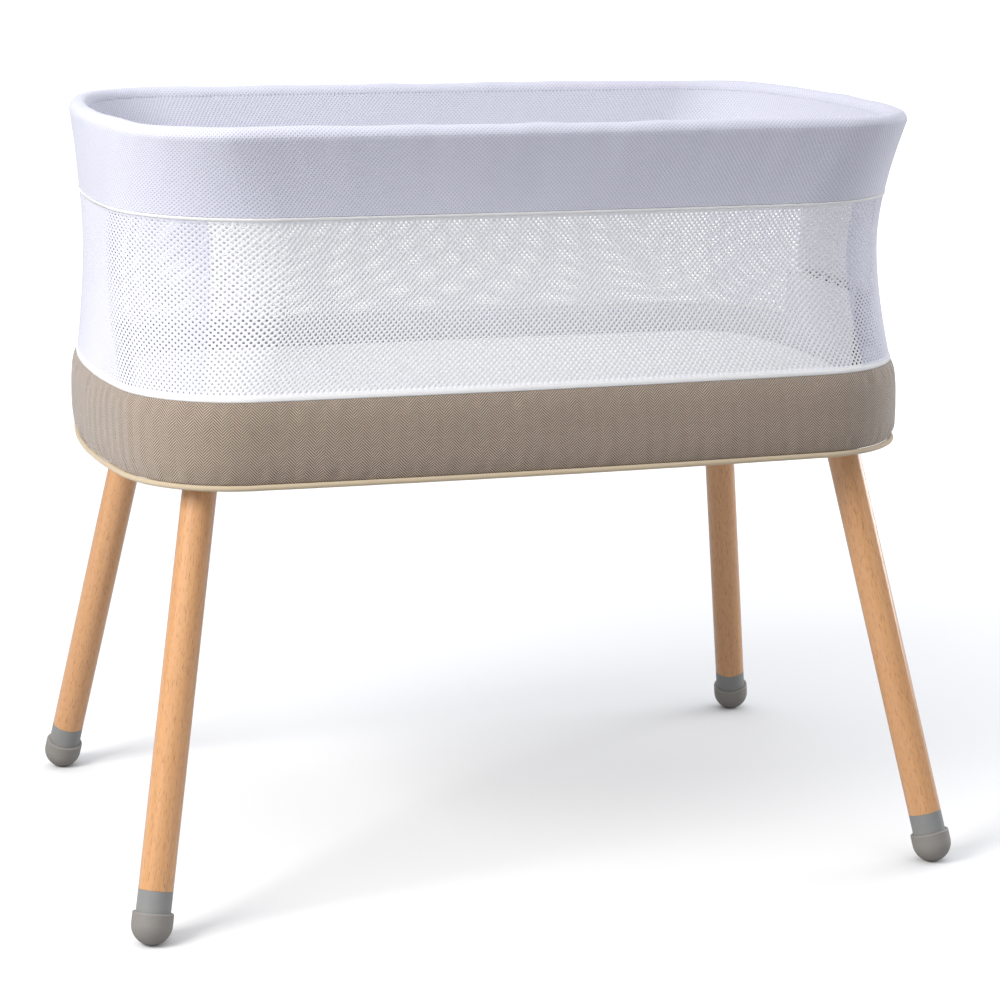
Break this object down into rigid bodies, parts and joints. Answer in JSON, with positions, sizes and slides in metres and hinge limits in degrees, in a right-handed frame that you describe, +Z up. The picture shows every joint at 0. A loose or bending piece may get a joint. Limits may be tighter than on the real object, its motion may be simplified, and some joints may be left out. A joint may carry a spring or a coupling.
{
  "type": "bassinet on stand",
  "caption": "Oval bassinet with see-through net walls, padded herringbone skirt and splayed round wooden legs.",
  "frame": {"origin": "on the floor, under the middle of the basket", "axes": "+X along the length, -Y is the front, +Z up"},
  "size_m": [0.8922, 0.6114, 0.798],
  "materials": {
    "beech": "clear satin lacquer, fine straight grain",
    "plywood": "sanded birch plywood, bare",
    "hardboard": "smooth brown hardboard",
    "ferrule_plastic": "moulded satin grey",
    "foot_rubber": "matt warm grey",
    "socket_plastic": "moulded, fine texture",
    "bracket_plastic": "moulded, fine texture",
    "zinc_steel": "bright zinc plate",
    "brass": "turned",
    "white_tube": "white powder coat",
    "herringbone_cloth": "woven herringbone, taupe and cream",
    "piping_cloth": "plain weave bias tape over cord",
    "spacer_mesh": "dimpled polyester spacer mesh",
    "net_cloth": "knitted polyester net",
    "white_tape": "woven binding tape",
    "lining_cloth": "plain white weave",
    "sheet_cloth": "cotton jersey",
    "dust_cloth": "non-woven",
    "foam": "open cell foam"
  },
  "bodies": {
    "base": {"base_board": "plywood", "tray_wall": "hardboard", "tray_liner": "lining_cloth", "tray_screws": "zinc_steel", "skirt_padding": "foam", "skirt_cover": "herringbone_cloth", "skirt_piping": "piping_cloth", "dust_cover": "dust_cloth", "net_binding": "white_tape", "net_front": "net_cloth", "net_back": "net_cloth", "net_left": "net_cloth", "net_right": "net_cloth", "band_hem": "white_tape", "top_band_front": "spacer_mesh", "top_band_back": "spacer_mesh", "top_band_left": "spacer_mesh", "top_band_right": "spacer_mesh", "band_lining": "spacer_mesh", "rim_foam": "foam", "rim_tube_left": "white_tube", "rim_tube_right": "white_tube", "rim_tube_plugs": "zinc_steel", "end_bracket_left": "bracket_plastic", "end_bracket_right": "bracket_plastic", "bracket_screws": "zinc_steel", "end_sleeve_left": "lining_cloth", "bracket_cover_left": "lining_cloth", "bracket_cover_right": "lining_cloth", "end_sleeve_right": "lining_cloth", "threaded_inserts": "brass", "socket_screws": "zinc_steel", "leg_socket_front_left": "socket_plastic", "upright_front_left": "white_tube", "leg_socket_front_right": "socket_plastic", "upright_front_right": "white_tube", "leg_socket_rear_left": "socket_plastic", "upright_rear_left": "white_tube", "leg_socket_rear_right": "socket_plastic", "upright_rear_right": "white_tube"},
    "mattress": {"fitted_sheet": "sheet_cloth", "mattress_pad": "foam", "mattress_board": "hardboard"},
    "leg_front_left": {"leg_front_left": "beech", "hanger_bolt_front_left": "zinc_steel", "ferrule_front_left": "ferrule_plastic", "foot_cup_front_left": "foot_rubber"},
    "leg_front_right": {"leg_front_right": "beech", "hanger_bolt_front_right": "zinc_steel", "ferrule_front_right": "ferrule_plastic", "foot_cup_front_right": "foot_rubber"},
    "leg_rear_left": {"leg_rear_left": "beech", "hanger_bolt_rear_left": "zinc_steel", "ferrule_rear_left": "ferrule_plastic", "foot_cup_rear_left": "foot_rubber"},
    "leg_rear_right": {"leg_rear_right": "beech", "hanger_bolt_rear_right": "zinc_steel", "ferrule_rear_right": "ferrule_plastic", "foot_cup_rear_right": "foot_rubber"}
  },
  "joints": [
    {"name": "mattress_lift", "type": "slide", "parent": "base", "child": "mattress", "axis": [0, 0, 1], "range_m": [0, 0.4]},
    {"name": "leg_out_front_left", "type": "slide", "parent": "base", "child": "leg_front_left", "axis": [-0.1727, -0.2407, -0.9551], "range_m": [0, 0.08]},
    {"name": "leg_out_front_right", "type": "slide", "parent": "base", "child": "leg_front_right", "axis": [0.1727, -0.2407, -0.9551], "range_m": [0, 0.08]},
    {"name": "leg_out_rear_left", "type": "slide", "parent": "base", "child": "leg_rear_left", "axis": [-0.1727, 0.2407, -0.9551], "range_m": [0, 0.08]},
    {"name": "leg_out_rear_right", "type": "slide", "parent": "base", "child": "leg_rear_right", "axis": [0.1727, 0.2407, -0.9551], "range_m": [0, 0.08]}
  ]
}
